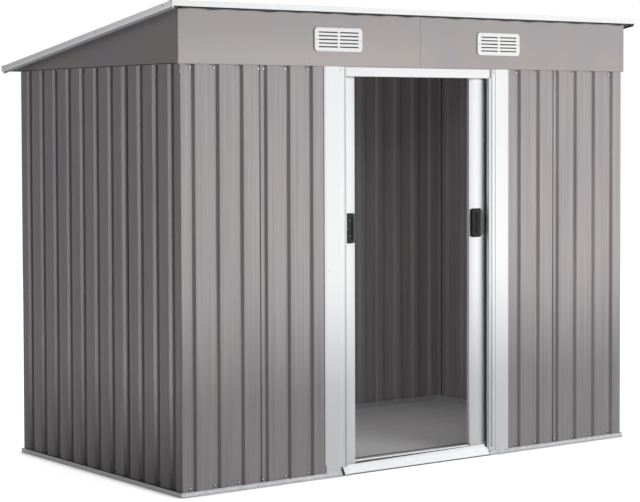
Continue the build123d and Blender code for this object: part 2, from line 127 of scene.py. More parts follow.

# Pull handles: the plate's face, its rivets in from the edge and down from the top, and where its painted
# light begins
HANDLE_PLATE_Y = -0.5575
RIVETS = ((0.0190, 0.0270), (0.0290, 0.0555), (0.0175, 0.0820))
LEFT_HANDLE_LIGHT = (-0.2950, -0.2925)
RIGHT_HANDLE_LIGHT = (0.3140, 0.3165)

# Lower track and sill: the heights where the guide lip's painted shade ends, the floor's painted shadow line,
# the ramp's folded lip
GUIDE_SHADE_EDGE = (0.0352, 0.0368)
SHADOW_LINE_Y = -0.418
RAMP_LIP_FRONT = -0.5685
RAMP_LIP_BACK = -0.5660

# Strength of the world for the light it gives, and the floor's painted shadow where it meets the shed
SKY = 0.06
CONTACT_REACH = 0.06
CONTACT_SHADOW_DARKNESS = 0.62

rng = np.random.default_rng(7)


def corner(node, high, axis):
    """One coordinate of a node's box: its low or high corner along an axis."""
    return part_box(node)[1 if high else 0][axis]


# Places of the frame that the looks start from
FRONT_Y = corner("front_wall_left", False, 1)
LEFT_X = corner("left_wall", False, 0)
RIGHT_X = corner("right_wall", True, 0)
REAR_Y = corner("rear_wall", True, 1)
WALL_BOTTOM = corner("rear_wall", False, 2)
SHEET_TOP = corner("rear_wall", True, 2)
WALL_WIDTH = RIGHT_X - LEFT_X
DOORWAY = (corner("front_wall_left", True, 0) - LEFT_X, corner("front_wall_right", False, 0) - LEFT_X)
ROOF_FRONT = corner("roof_trim_front", False, 1)
ROOF_SIDE = corner("roof_trim_right", True, 0)
ROOF_SLOPE = ROOF_FALL / (corner("roof_trim_rear", True, 1) - ROOF_FRONT)
ROOF_CROWN = ROOF_TOP + ROOF_SLOPE * ROOF_FRONT


# Meshes are a pair of points and faces, the faces being arrays of quads and of triangles

def outward(points, faces):
    """Faces of a closed mesh, turned to point outwards: the signed volume of its face fans is positive."""
    volume = 0.0
    for group in faces:
        first = points[group[:, 0]]
        for i in range(1, group.shape[1] - 1):
            volume += np.einsum("ij,ij->", first, np.cross(points[group[:, i]], points[group[:, i + 1]]))
    return points, (faces if volume > 0 else [group[:, ::-1] for group in faces])


def joined(meshes):
    """Several meshes as one."""
    starts = np.cumsum([0] + [len(points) for points, _ in meshes])
    return (np.concatenate([points for points, _ in meshes]),
            [group + start for (_, faces), start in zip(meshes, starts) for group in faces])


def piece(name, mesh, material, body="shed"):
    """Object of the shed's looks that rides on one of its bodies."""
    points, faces = mesh
    data = bpy.data.meshes.new(name)
    data.from_pydata(points.tolist(), [], [face for group in faces for face in group.tolist()])
    data.update()
    data.shade_smooth()
    data.set_sharp_from_angle(angle=math.radians(35.0))
    data.materials.append(material)
    obj = bpy.data.objects.new(name, data)
    bpy.context.scene.collection.objects.link(obj)
    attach(obj, body)
    return obj


def grid_faces(rows, columns, wrap=False):
    """Quads of a grid of rows by columns, joined round along the columns where it wraps."""
    span = columns if wrap else columns - 1
    r, c = np.meshgrid(np.arange(rows - 1), np.arange(span), indexing="ij")
    n = (c + 1) % columns
    return np.stack([r * columns + c, r * columns + n, (r + 1) * columns + n, (r + 1) * columns + c],
                    axis=-1).reshape(-1, 4)


def shell(outer, inner):
    """Closed sheet between two grids of points (rows, columns, 3), joined along their four rims."""
    rows, columns = outer.shape[:2]
    points = np.concatenate([outer, inner[:, ::-1]], axis=1).reshape(-1, 3)
    i = np.arange(columns - 1)
    ends = []
    for row, turn in ((0, -1), (rows - 1, 1)):
        start = row * 2 * columns
        ends.append(np.stack([start + i, start + i + 1, start + 2 * columns - 2 - i,
                              start + 2 * columns - 1 - i], axis=-1)[:, ::turn])
    return outward(points, [np.concatenate([grid_faces(rows, 2 * columns, wrap=True)] + ends)])


def loft(rings):
    """Closed mesh over rings of points (rings, around, 3), with its two ends closed by fans."""
    count, around = rings.shape[:2]
    points = np.concatenate([rings.reshape(-1, 3), rings[:1].mean(axis=1), rings[-1:].mean(axis=1)])
    i = np.arange(around)
    n = (i + 1) % around
    last = (count - 1) * around
    fans = np.concatenate([np.stack([n, i, np.full(around, count * around)], axis=-1),
                           np.stack([last + i, last + n, np.full(around, count * around + 1)], axis=-1)])
    return outward(points, [grid_faces(count, around, wrap=True), fans])


def bar(start, end, across, out, width, height, radius=0.0006, steps=3):
    """Bar from start to end with a rounded oblong section: width across, and height out from the line."""
    start, end, across, out = (np.asarray(v, float) for v in (start, end, across, out))
    angle = np.linspace(0.0, math.pi / 2, steps + 1)
    a, b = [], []
    for turn, ca, cb in ((0, 1, 1), (1, -1, 1), (2, -1, -1), (3, 1, -1)):
        a.append(ca * (width / 2 - radius) + radius * np.cos(angle + turn * math.pi / 2))
        b.append(cb * (height / 2 - radius) + radius * np.sin(angle + turn * math.pi / 2) + height / 2)
    section = np.concatenate(a)[:, None] * across + np.concatenate(b)[:, None] * out
    return loft(np.stack([start + section, end + section]))


def upright(x, y, low, high, width, thickness, radius=0.0006):
    """Upright strip on a face that looks to the front, from a low height to a high one."""
    return bar((x, y, low), (x, y, high), (1, 0, 0), (0, -1, 0), width, thickness, radius)


def level(start, stop, y, z, width, thickness, radius):
    """Level strip on a face that looks to the front, from one place along it to another."""
    return bar((start, y, z), (stop, y, z), (0, 0, 1), (0, -1, 0), width, thickness, radius)


def square_to(axis):
    """Two unit directions square to an axis and to each other."""
    side = np.cross((0.0, 0.0, 1.0) if abs(axis[2]) < 0.9 else (0.0, 1.0, 0.0), axis)
    side /= np.linalg.norm(side)
    return side, np.cross(axis, side)


def rod(start, end, radius, around=12):
    """Round rod from start to end."""
    start, end = np.asarray(start, float), np.asarray(end, float)
    side, other = square_to((end - start) / np.linalg.norm(end - start))
    angle = np.linspace(0.0, 2 * math.pi, around, endpoint=False)[:, None]
    ring = radius * (np.cos(angle) * side + np.sin(angle) * other)
    return loft(np.stack([start + ring, end + ring]))


# Screws

def screw_mesh(rings=9, around=24):
    """Pan head on a washer, standing on the plane z = 0: its height is a function of the distance r from the
    axis, a flat washer, a rounded step and a dome, less a cross-shaped recess where |x| or |y| is small."""
    share = np.linspace(0.0, 1.0, rings)
    dome_r = HEAD_RADIUS * np.sin(share * math.pi / 2)
    dome_z = WASHER_HEIGHT + HEAD_HEIGHT * np.cos(share * math.pi / 2) ** 0.7
    rim_r = [WASHER_RADIUS - ROUNDING, WASHER_RADIUS, WASHER_RADIUS, WASHER_RADIUS - 0.0004]
    rim_z = [WASHER_HEIGHT, WASHER_HEIGHT - ROUNDING, 0.0, -ROUNDING]
    r = np.concatenate([dome_r[1:], rim_r])[:, None]
    z = np.concatenate([dome_z[1:], rim_z])[:, None]
    angle = np.arange(around) * 2 * math.pi / around
    x = r * np.cos(angle)
    y = r * np.sin(angle)
    recess = (np.minimum(np.abs(x), np.abs(y)) < RECESS_HALF_WIDTH) & (r < RECESS_REACH)
    points, faces = loft(np.stack([x, y, z - RECESS_DEPTH * recess], axis=-1))
    points[-2, 2] -= RECESS_DEPTH
    return points, faces


def scattered(mesh, places, out, size):
    """Copies of a small mesh at places (count, 3) on a face that looks along out, each turned by a chance
    angle."""
    points, faces = mesh
    places = np.asarray(places, float)
    out = np.asarray(out, float) / np.linalg.norm(out)
    side, other = square_to(out)
    turn = rng.uniform(0.0, 2 * math.pi, len(places))[:, None]
    x = points[:, 0] * np.cos(turn) - points[:, 1] * np.sin(turn)
    y = points[:, 0] * np.sin(turn) + points[:, 1] * np.cos(turn)
    copies = places[:, None] + size * (x[..., None] * side + y[..., None] * other + points[:, 2, None] * out)
    shift = (np.arange(len(places)) * len(points))[:, None, None]
    return copies.reshape(-1, 3), [(group + shift).reshape(-1, group.shape[1]) for group in faces]


SCREW_HEAD = screw_mesh()
RUBBER_WASHER = rod((0, 0, -ROUNDING), (0, 0, RUBBER_HEIGHT), RUBBER_RADIUS, 16)


def screws(name, places, out, material, body="shed", size=1.0, washers=False):
    """Screw heads at places on a face, with rubber washers under them where they hold a sheet."""
    places = np.asarray(places, float)
    if washers:
        piece(name.replace("screws", "washers"), scattered(RUBBER_WASHER, places, out, size), RUBBER, body)
        places = places + np.asarray(out, float) / np.linalg.norm(out) * RUBBER_HEIGHT * size
    return piece(name, scattered(SCREW_HEAD, places, out, size), material, body)


# Ribbed sheets with rolled bends

def rib_profile(length, pitch, first_ridge, depth):
    """Outer face of a ribbed sheet: places along it, depths inwards and the angle of the run at each.

    Each ridge has four bends. On a bend of radius R the run's angle a goes evenly from one run's to the
    next, so the face follows R (sin a - sin a0, cos a0 - cos a) from where the bend starts."""
    slope = math.atan2(depth, RIB_SLOPE_RUN)
    half = RIDGE_WIDTH / 2
    ridges = np.arange(-1, int(length / pitch) + 2) * pitch + (first_ridge % pitch)
    bends = [(-half - RIB_SLOPE_RUN, depth, 0.0, -slope, BEND_RADIUS),
             (-half, 0.0, -slope, 0.0, BEND_RADIUS + SHEET),
             (half, 0.0, 0.0, slope, BEND_RADIUS + SHEET),
             (half + RIB_SLOPE_RUN, depth, slope, 0.0, BEND_RADIUS)]
    share = np.linspace(0.0, 1.0, BEND_STEPS + 1)
    places, depths, angles = [], [], []
    for at, deep, start, end, radius in bends:
        angle = start + (end - start) * share
        sign = math.copysign(1.0, end - start)
        tangent = radius * math.tan(slope / 2)
        u = at - tangent * math.cos(start) + sign * radius * (np.sin(angle) - math.sin(start))
        d = deep - tangent * math.sin(start) + sign * radius * (math.cos(start) - np.cos(angle))
        places.append(ridges[:, None] + u)
        depths.append(np.broadcast_to(d, places[-1].shape))
        angles.append(np.broadcast_to(angle, places[-1].shape))
    places, depths, angles = (np.concatenate(part, axis=1).reshape(-1) for part in (places, depths, angles))
    ends = np.array([0.0, length])
    away = np.abs((ends - first_ridge + pitch / 2) % pitch - pitch / 2)
    end_depths = depth * np.clip((away - half) / RIB_SLOPE_RUN, 0.0, 1.0)
    margin = 1e-4
    inside = (places > margin) & (places < length - margin)
    u = np.concatenate([[0.0], places[inside], [length]])
    d = np.concatenate([end_depths[:1], depths[inside], end_depths[1:]])
    a = np.concatenate([[0.0], angles[inside], [0.0]])
    return u, d, a


def smooth(x):
    """Smooth step from 0 to 1."""
    x = np.clip(x, 0.0, 1.0)
    return x * x * (3 - 2 * x)


def rolled_sheet(axes, length, height, pitch, first_ridge, start=0.0, stop=None, rise=0.0, rows=9,
                 depth=RIB_DEPTH, ridge_out=RIDGE_OUT):
    """Ribbed sheet from one place along it to another, drawn up its height: the axes are its origin and its
    directions along, inwards and up.

    Where it laps over its neighbour, on its first side, it stands out by the rise and ramps back to its own
    face. A slow ripple of a fifth of a millimetre runs over the face."""
    stop = length if stop is None else stop
    u, d, a = rib_profile(length, pitch, first_ridge, depth)
    extra = [start, stop]
    if rise:
        extra += list(start + LAP_WIDTH + LAP_RAMP * np.linspace(0.0, 1.0, 7))
    extra = np.array(extra)
    order = np.argsort(np.concatenate([u, extra]), kind="stable")
    places = np.concatenate([u, extra])[order]
    depths = np.concatenate([d, np.interp(extra, u, d)])[order]
    turns = np.concatenate([a, np.interp(extra, u, a)])[order]
    keep = (places >= start) & (places <= stop) & np.concatenate([[True], np.diff(places) > 1e-6])
    u, d, a = places[keep], depths[keep], turns[keep]
    lift = rise * (1 - smooth((u - start - LAP_WIDTH) / LAP_RAMP))
    h = np.linspace(0.0, height, rows)[:, None]
    ripple = 1e-4 * (np.sin(u * 5.3 + 2.1 * np.sin(h * 3.1)) + np.sin(h * 7.7 + u * 2.3))
    ripple = ripple * np.sin(np.pi * h / height)
    origin, along, inwards, up = (np.asarray(v, float) for v in axes)

    def surface(offset):
        across = u - np.sin(a) * offset + 0 * h
        deep = d - lift - ridge_out + np.cos(a) * offset + ripple
        return origin + across[..., None] * along + deep[..., None] * inwards + h[..., None] * up
    return shell(surface(0.0), surface(SHEET))


# Shader nodes

class Wire:
    """A node's output. Sums and products with it add Math nodes."""

    def __init__(self, tree, socket):
        self.tree = tree
        self.socket = socket

    def math(self, operation, first, second):
        return Wire(self.tree, add_node(self.tree, "ShaderNodeMath", {"operation": operation},
                                        {0: first, 1: second}).outputs[0])

    def __add__(self, other):
        return self.math("ADD", self, other)

    __radd__ = __add__

    def __sub__(self, other):
        return self.math("SUBTRACT", self, other)

    def __rsub__(self, other):
        return self.math("SUBTRACT", other, self)

    def __mul__(self, other):
        return self.math("MULTIPLY", self, other)

    __rmul__ = __mul__

    def __gt__(self, other):
        return self.math("GREATER_THAN", self, other)

    def __lt__(self, other):
        return self.math("LESS_THAN", self, other)

    def size(self):
        """Its value without the sign."""
        return self.math("ABSOLUTE", self, 0.0)

    def clamped(self, low, high):
        """From 0 at low to 1 at high, smoothly."""
        node = add_node(self.tree, "ShaderNodeMapRange", {"interpolation_type": "SMOOTHSTEP"},
                        {"Value": self, "From Min": low, "From Max": high})
        return Wire(self.tree, node.outputs[0])


def add_node(tree, kind, settings=None, values=None):
    """Node of a type, with its settings made first, then the values or links of its sockets."""
    node = tree.nodes.new(kind)
    for name, value in (settings or {}).items():
        setattr(node, name, value)
    for name, value in (values or {}).items():
        if isinstance(value, Wire):
            tree.links.new(value.socket, node.inputs[name])
        else:
            node.inputs[name].default_value = value
    return node


class Finish:
    """Material under construction: its nodes, and its one shader."""

    def __init__(self, name):
        self.material = bpy.data.materials.new(name)
        self.material.use_nodes = True
        self.tree = self.material.node_tree
        self.tree.nodes.clear()
        place = add_node(self.tree, "ShaderNodeTexCoord")
        self.place = Wire(self.tree, place.outputs["Object"])
        split = add_node(self.tree, "ShaderNodeSeparateXYZ", values={0: self.place})
        self.x, self.y, self.z = (Wire(self.tree, split.outputs[i]) for i in range(3))

    def node(self, kind, settings=None, values=None, output=0):
        return Wire(self.tree, add_node(self.tree, kind, settings, values).outputs[output])

    def noise(self, scale, detail=2.0, roughness=0.5, where=None):
        return self.node("ShaderNodeTexNoise", values={"Vector": where or self.place, "Scale": scale,
                                                       "Detail": detail, "Roughness": roughness})

    def vector(self, x, y, z):
        return self.node("ShaderNodeCombineXYZ", values={0: x, 1: y, 2: z})

    def mixed(self, share, first, second):
        """Colour between two, by a share from 0 to 1."""
        return self.node("ShaderNodeMix", {"data_type": "RGBA"}, {0: share, 6: first, 7: second}, output=2)

    def tinted(self, colour, tint):
        """Colour multiplied by a tint near white."""
        return self.node("ShaderNodeMix", {"data_type": "RGBA", "blend_type": "MULTIPLY"},
                         {0: 1.0, 6: colour, 7: tint}, output=2)

    def bump(self, height, distance, strength=1.0):
        return self.node("ShaderNodeBump", values={"Height": height, "Distance": distance,
                                                   "Strength": strength})

    def surface(self, colour, roughness, normal=None, **constants):
        values = {"Base Color": colour, "Roughness": roughness}
        if normal is not None:
            values["Normal"] = normal
        values.update({name.replace("_", " "): value for name, value in constants.items()})
        return self.shown(self.node("ShaderNodeBsdfPrincipled", values=values))

    def shown(self, shader):
        """The material, with a shader as its surface."""
        add_node(self.tree, "ShaderNodeOutputMaterial", values={"Surface": shader})
        return self.material


def rgb(red, green, blue):
    return (red, green, blue, 1.0)


def sheet_paint(name, axis):
    """Satin grey paint on rolled sheet, with the uneven lines that the rollers leave along the ribs: noise
    that changes fast across the sheet and slowly up it, and a faint warm and cool mottle."""
    finish = Finish(name)
    across = {"x": finish.x, "y": finish.y}[axis]
    line = finish.noise(1.0, roughness=0.6, where=finish.vector(across * 95.0, finish.z * 1.3, 0.0))
    fine = finish.noise(1.0, where=finish.vector(across * 330.0, finish.z * 0.7, 4.0))
    patch = finish.noise(1.0, where=finish.vector(across * 11.0, finish.z * 1.6, 9.0))
    share = 0.5 + (line - 0.5) * 1.7 + (fine - 0.5) * 0.7 + (patch - 0.5) * 0.6
    grey = finish.mixed(share, rgb(0.255, 0.236, 0.242), rgb(0.366, 0.339, 0.347))
    colour = finish.tinted(grey, finish.mixed(patch, rgb(0.97, 1.0, 1.045), rgb(1.03, 1.0, 0.955)))
    height = line + fine * 0.3
    roughness = 0.34 + (line - 0.5) * 0.2 + patch * 0.10
    return finish.surface(colour, roughness, finish.bump(height, 0.0002, 0.7), Specular_IOR_Level=0.2)


def flat_paint():
    """The same paint on the smooth fascia and gables: only a soft warm and cool mottle, a hand across, and a
    lighter tone low on the fascia's left half, which is painted light, as if thrown up from the ground."""
    finish = Finish("grey_flat_paint")
    patch = finish.noise(3.1, detail=1.5)
    tint = finish.noise(5.3, detail=1.0, where=finish.vector(finish.x, finish.y, finish.z + 3.0))
    grey = finish.mixed(patch, rgb(0.305, 0.282, 0.286), rgb(0.350, 0.325, 0.328))
    # Painted light: the fascia's left half is drawn lighter towards its foot.
    low = 1.0 - finish.z.clamped(1.470, 1.600)
    left = 1.0 - finish.x.clamped(-0.4, 0.3)
    front = finish.y < -0.58
    grey = finish.mixed(low * left * front * 0.7, grey, rgb(0.405, 0.374, 0.366))
    warm = finish.mixed(tint.clamped(0.3, 0.7), rgb(0.98, 1.0, 1.03), rgb(1.025, 1.0, 0.97))
    height = finish.bump(patch, 0.0015, 0.4)
    return finish.surface(finish.tinted(grey, warm), 0.34 + patch * 0.12, height, Specular_IOR_Level=0.2)


def trim_paint(name, lip_shade_and_marks=False, crease_shades=False):
    """Satin white paint on folded steel, with a fine orange peel. The roof's side trims have painted shade on
    their lower lip, a joint and a sunk screw, all drawn, because nothing stands out past them. The jambs have
    painted shade in a crease up their inner lip, which fades to both sides of its middle."""
    finish = Finish(name)
    broad = finish.noise(2.3)
    peel = finish.noise(650.0, detail=1.0)
    colour = finish.mixed(broad, rgb(0.695, 0.707, 0.726), rgb(0.752, 0.758, 0.768))
    if lip_shade_and_marks:
        # Painted shade: below a depth under the roof, the side trims' lower lip is drawn dark.
        depth = (ROOF_CROWN - TRIM_DROP) - finish.y * ROOF_SLOPE - finish.z
        side = (finish.x.size() > ROOF_SIDE - TRIM_SHADE_BACK) * (finish.y > ROOF_FRONT + TRIM_SHADE_END)
        colour = finish.mixed(depth.clamped(*TRIM_LIP_SHADE) * side * 0.92, colour, rgb(0.13, 0.13, 0.135))
        face = finish.x.size() > ROOF_SIDE - 0.0005
        joint = (finish.y - TRIM_JOINT).size() < JOINT_HALF_WIDTH
        across = finish.y - TRIM_SCREW[0]
        up = finish.z - TRIM_SCREW[1]
        spot = (across * across + up * up) < TRIM_SCREW_RADIUS ** 2
        colour = finish.mixed(face * (joint * 0.75 + spot * 0.8), colour, rgb(0.10, 0.10, 0.105))
    # Painted shade: a grey band up each jamb's inner lip, where its step and the doorway's gap shade it.
    if crease_shades:
        left, right = (1.0 - ((finish.x - place).size() * (1.0 / half_width)).clamped(0.0, 1.0)
                       for place, half_width in (LEFT_CREASE_SHADE, RIGHT_CREASE_SHADE))
        crease_shade = (left * 0.85 + right * 0.75) * (finish.z > CREASE_SHADE_FOOT)
        colour = finish.mixed(crease_shade, colour, rgb(0.24, 0.24, 0.245))
    return finish.surface(colour, 0.30 + broad * 0.14, finish.bump(peel, 0.00004), Specular_IOR_Level=0.5)


def track_paint():
    """White paint on the guide lip of the lower track, with painted shade down in the groove: below a given
    height the lip is drawn near black."""
    finish = Finish("door_track_paint")
    speckle = finish.noise(60.0)
    white_paint = finish.mixed(speckle, rgb(0.74, 0.75, 0.76), rgb(0.84, 0.84, 0.84))
    height = (finish.z + (speckle - 0.5) * 0.001).clamped(*GUIDE_SHADE_EDGE)
    # Painted shade: near black below the given height, white above it.
    colour = finish.mixed(height, rgb(0.045, 0.045, 0.048), white_paint)
    return finish.surface(colour, 0.40 + speckle * 0.2, finish.bump(speckle, 0.0001))


def zinc_coat():
    """Galvanised steel: a pattern of zinc crystals, a centimetre across, each a little lighter or darker."""
    finish = Finish("galvanised_steel")
    crystals = finish.node("ShaderNodeTexVoronoi", values={"Vector": finish.place, "Scale": 105.0}, output=1)
    tone = finish.node("ShaderNodeSeparateColor", values={0: crystals})
    rub = finish.noise(14.0, detail=3.0)
    share = tone * 0.55 + rub * 0.45
    colour = finish.mixed(share, rgb(0.40, 0.41, 0.425), rgb(0.58, 0.59, 0.605))
    return finish.surface(colour, 0.34 + tone * 0.10 + rub * 0.12, finish.bump(rub, 0.0001), Metallic=0.4,
                          Specular_IOR_Level=0.3)


def screw_zinc(name, dark, light):
    """Zinc on the screws' heads, bright on the front wall and painted over on the fascia. A darker copy
    paints the shade on the side walls' screws and on the left handle's rivets.
    """
    finish = Finish(name)
    rub = finish.noise(400.0)
    return finish.surface(finish.mixed(rub, rgb(*dark), rgb(*light)), 0.34 + rub * 0.16, Metallic=0.3)


def plastic(name, dark, light, roughness, scale, gloss=0.4, painted_light_mask=None, worn=None):
    """Moulded plastic with a fine grain, and a second colour painted where a mask says: painted shade in the
    vents' slots, painted light on the handles.
    """
    finish = Finish(name)
    grain = finish.noise(scale)
    colour = finish.mixed(finish.noise(6.0), rgb(*dark), rgb(*light))
    # The mask's colour paints shade in the vents' slots and light on the handles.
    if painted_light_mask:
        colour = finish.mixed(painted_light_mask(finish), colour, rgb(*worn))
    height = finish.bump(grain, 0.00006)
    return finish.surface(colour, roughness + grain * 0.1, height, Specular_IOR_Level=gloss)


def handle_painted_light(finish):
    """Painted light on the side of each handle that faces right, weaker on the left one."""
    return finish.x.clamped(*LEFT_HANDLE_LIGHT) * (finish.x < 0.0) * 0.55 + finish.x.clamped(*RIGHT_HANDLE_LIGHT)


def slot_shade(finish):
    """Painted shade inside the vents' slots: past a millimetre behind the plate's face."""
    side_frame = 0.014
    level_frame = 0.006
    low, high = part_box("vent_right")
    across = (finish.x.size() - (low[0] + high[0]) / 2).size() < (high[0] - low[0]) / 2 - side_frame
    up = (finish.z - (low[2] + high[2]) / 2).size() < (high[2] - low[2]) / 2 - level_frame
    # Painted shade: dark wherever the face lies more than a millimetre behind the plate's front.
    return across * up * (finish.y - low[1]).clamped(0.0004, 0.0016)


def floor_boards():
    """Grey painted boards across the shed with a worn grain, and a painted shadow line along them, as cast
    behind the track's guide lip.
    """
    finish = Finish("painted_floor_boards")
    grain = finish.noise(38.0, detail=4.0, where=finish.vector(finish.x * 0.06, finish.y, finish.z))
    worn = finish.noise(3.0, detail=4.0)
    boards = finish.mixed(grain * 0.5 + worn * 0.5, rgb(0.33, 0.325, 0.325), rgb(0.50, 0.495, 0.49))
    # Painted shadow: a dark line across the floor just behind the track's guide lip.
    away = (finish.y - SHADOW_LINE_Y + (worn - 0.5) * 0.006).size()
    colour = finish.mixed(away.clamped(0.006, 0.012), rgb(0.075, 0.075, 0.078), boards)
    return finish.surface(colour, 0.55 + worn * 0.2, finish.bump(grain, 0.0003, 0.5))


PAINT_X = sheet_paint("grey_sheet_paint_front", "x")
PAINT_Y = sheet_paint("grey_sheet_paint_side", "y")
PAINT_FLAT = flat_paint()
WHITE = trim_paint("white_trim_paint")
WHITE_ROOF = trim_paint("white_roof_trim_paint", lip_shade_and_marks=True)
WHITE_JAMB = trim_paint("white_jamb_paint", crease_shades=True)
TRACK = track_paint()
ZINC = zinc_coat()
SCREW = screw_zinc("screw_zinc", (0.62, 0.63, 0.64), (0.82, 0.82, 0.82))
# Painted shade: a dark copy of the screw zinc, for the screws of the shaded side walls and the left handle.
SHADED_ZINC = screw_zinc("shaded_screw_zinc", (0.11, 0.11, 0.11), (0.17, 0.17, 0.17))
PAINTED_SCREW = screw_zinc("painted_screw", (0.36, 0.34, 0.34), (0.46, 0.44, 0.44))
VENT = plastic("white_vent_plastic", (0.70, 0.70, 0.70), (0.77, 0.77, 0.77), 0.42, 700.0, 0.4, slot_shade,
               (0.075, 0.076, 0.08))
# Painted light: the handles are grey on their right-facing side.
BLACK = plastic("black_handle_plastic", (0.004, 0.004, 0.0045), (0.010, 0.010, 0.011), 0.50, 900.0, 0.15,
                handle_painted_light, (0.115, 0.115, 0.118))
RUBBER = plastic("dark_rubber", (0.030, 0.030, 0.031), (0.055, 0.054, 0.054), 0.60, 800.0, 0.2)
NYLON = plastic("runner_nylon", (0.70, 0.70, 0.68), (0.80, 0.80, 0.78), 0.45, 500.0)
BOARDS = floor_boards()

SLOT_FINISH = {"sheet_grey": PAINT_X, "trim_white": WHITE, "galvanised": ZINC, "vent_white": VENT,
               "handle_black": BLACK, "nylon": NYLON, "floor_board": BOARDS}
NODE_FINISH = {"door_track_bottom": TRACK}
for side in ("left", "right"):
    NODE_FINISH.update({side + "_wall": PAINT_Y, side + "_gable": PAINT_FLAT, "fascia_" + side: PAINT_FLAT,
                        side + "_jamb": WHITE_JAMB, "roof_trim_" + side: WHITE_ROOF})


def dress_frame():
    """Each node of the frame gets its own finish, or that of its slot."""
    for part in frame["record"]["subparts"]:
        node = frame["nodes"][part["node"]]
        node.data.materials.clear()
        node.data.materials.append(NODE_FINISH.get(part["node"], SLOT_FINISH[part["material_slot"]]))


# Walls

def lapped(axes, length, height, pitch, first_ridge, laps, start=0.0, stop=None):
    """Sheets side by side over a stretch of wall, each lapping over the one before it at the places given."""
    stop = length if stop is None else stop
    edges = [start] + [lap for lap in laps if start < lap < stop] + [stop]
    sheets = []
    for i in range(len(edges) - 1):
        end = edges[i + 1] + LAP_WIDTH * (i < len(edges) - 2)
        rise = LAP_RISE * (i > 0)
        sheets.append(rolled_sheet(axes, length, height, pitch, first_ridge, edges[i], end, rise))
    return joined(sheets)


def wall_sheets():
    """The five stretches of wall in place of the frame's plain sheets."""
    height = SHEET_TOP - WALL_BOTTOM
    front = ((LEFT_X, FRONT_Y, WALL_BOTTOM), (1, 0, 0), (0, 1, 0), (0, 0, 1))
    for node, start, stop in (("front_wall_left", 0.0, DOORWAY[0]),
                              ("front_wall_right", DOORWAY[1], WALL_WIDTH)):
        mesh = lapped(front, WALL_WIDTH, height, FRONT_PITCH, FRONT_RIDGE, FRONT_LAPS, start, stop)
        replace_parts(piece(node.replace("wall", "sheets"), mesh, PAINT_X), node)
    rear = ((RIGHT_X, REAR_Y, WALL_BOTTOM), (-1, 0, 0), (0, -1, 0), (0, 0, 1))
    mesh = lapped(rear, WALL_WIDTH, height, FRONT_PITCH, FRONT_RIDGE, REAR_LAPS)
    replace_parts(piece("rear_sheets", mesh, PAINT_X), "rear_wall")
    near, far = corner("left_wall", False, 1), corner("left_wall", True, 1)
    ridge = SIDE_RIDGE - (near - FRONT_Y)
    for node, x, y, turn in (("left_wall", LEFT_X, near, 1), ("right_wall", RIGHT_X, far, -1)):
        axes = ((x, y, WALL_BOTTOM), (0, turn, 0), (turn, 0, 0), (0, 0, 1))
        mesh = lapped(axes, far - near, height, SIDE_PITCH, ridge, SIDE_LAPS)
        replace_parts(piece(node.replace("wall", "sheets"), mesh, PAINT_Y), node)


def lap_lift(place):
    """How far the front wall's sheet stands out at a place where it laps over its neighbour."""
    return LAP_RISE * any(-0.001 < place - lap < LAP_WIDTH + 0.008 for lap in FRONT_LAPS)


def wall_screws():
    """Rows of screws in the valleys near the foot and the top of each wall. Right of the doorway the front
    wall's low ones sit 5 mm further right."""
    sink = RIB_DEPTH - RIDGE_OUT
    valleys = FRONT_RIDGE + FRONT_PITCH * (np.arange(-1, 20) + 0.5)
    clear = (valleys < DOORWAY[0] - SCREW_INSET) | (valleys > DOORWAY[1] + SCREW_INSET)
    low = (valleys + 0.005 * (valleys > WALL_WIDTH / 2))[clear]
    front = [(LEFT_X + x, FRONT_Y + sink - lap_lift(x), z)
             for row, z in ((low, LOW_SCREWS), (HIGH_SCREW_PLACES, HIGH_SCREWS)) for x in row]
    screws("front_wall_screws", front, (0, -1, 0), SCREW, washers=True)
    rear_x = RIGHT_X - valleys[(valleys > SCREW_INSET) & (valleys < WALL_WIDTH - SCREW_INSET)]
    rear = [(x, REAR_Y - sink, z) for x in rear_x for z in (LOW_SCREWS, SHEET_TOP - REAR_SCREW_DROP)]
    screws("rear_wall_screws", rear, (0, 1, 0), SCREW, washers=True)
    side = SIDE_RIDGE + SIDE_PITCH * (np.arange(-1, 10) + 0.5)
    side[0] = SIDE_CORNER_SCREW
    for name, x, out, place in (("left", LEFT_X + sink, -1, FRONT_Y + side),
                                ("right", RIGHT_X - sink, 1, REAR_Y - side)):
        spots = [(x, y, z) for y in place for z in (LOW_SCREWS, HIGH_SCREWS)]
        screws(name + "_wall_screws", spots, (out, 0, 0), SHADED_ZINC, washers=True)


# Roof

def roof_sheets():
    """The two halves of the ribbed roof, which fall to the back, the right one lapping over the left."""
    low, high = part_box("roof_panel_left")
    angle = math.atan2(ROOF_SLOPE, 1.0)
    front = low[1] + (ROOF_RIB_DEPTH + TRIM_GAUGE) * math.sin(angle)
    top = ROOF_CROWN - ROOF_SLOPE * front - TRIM_GAUGE / math.cos(angle)
    length = (high[1] - front) / math.cos(angle)
    width = corner("roof_panel_right", True, 0) - low[0]
    middle = -low[0]
    ridge = middle % ROOF_PITCH
    back = (0.0, math.cos(angle), -math.sin(angle))
    inwards = (0.0, -math.sin(angle), -math.cos(angle))
    axes = ((low[0], front, top), (1, 0, 0), inwards, back)
    shape = {"depth": ROOF_RIB_DEPTH, "ridge_out": 0.0}
    left = rolled_sheet(axes, width, length, ROOF_PITCH, ridge, 0.0, middle, **shape)
    right = rolled_sheet(axes, width, length, ROOF_PITCH, ridge, middle - LAP_WIDTH, width, 0.0012, **shape)
    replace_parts(piece("roof_sheets_left", left, PAINT_X), "roof_panel_left")
    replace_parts(piece("roof_sheets_right", right, PAINT_X), "roof_panel_right")
    return axes, length, ridge, width


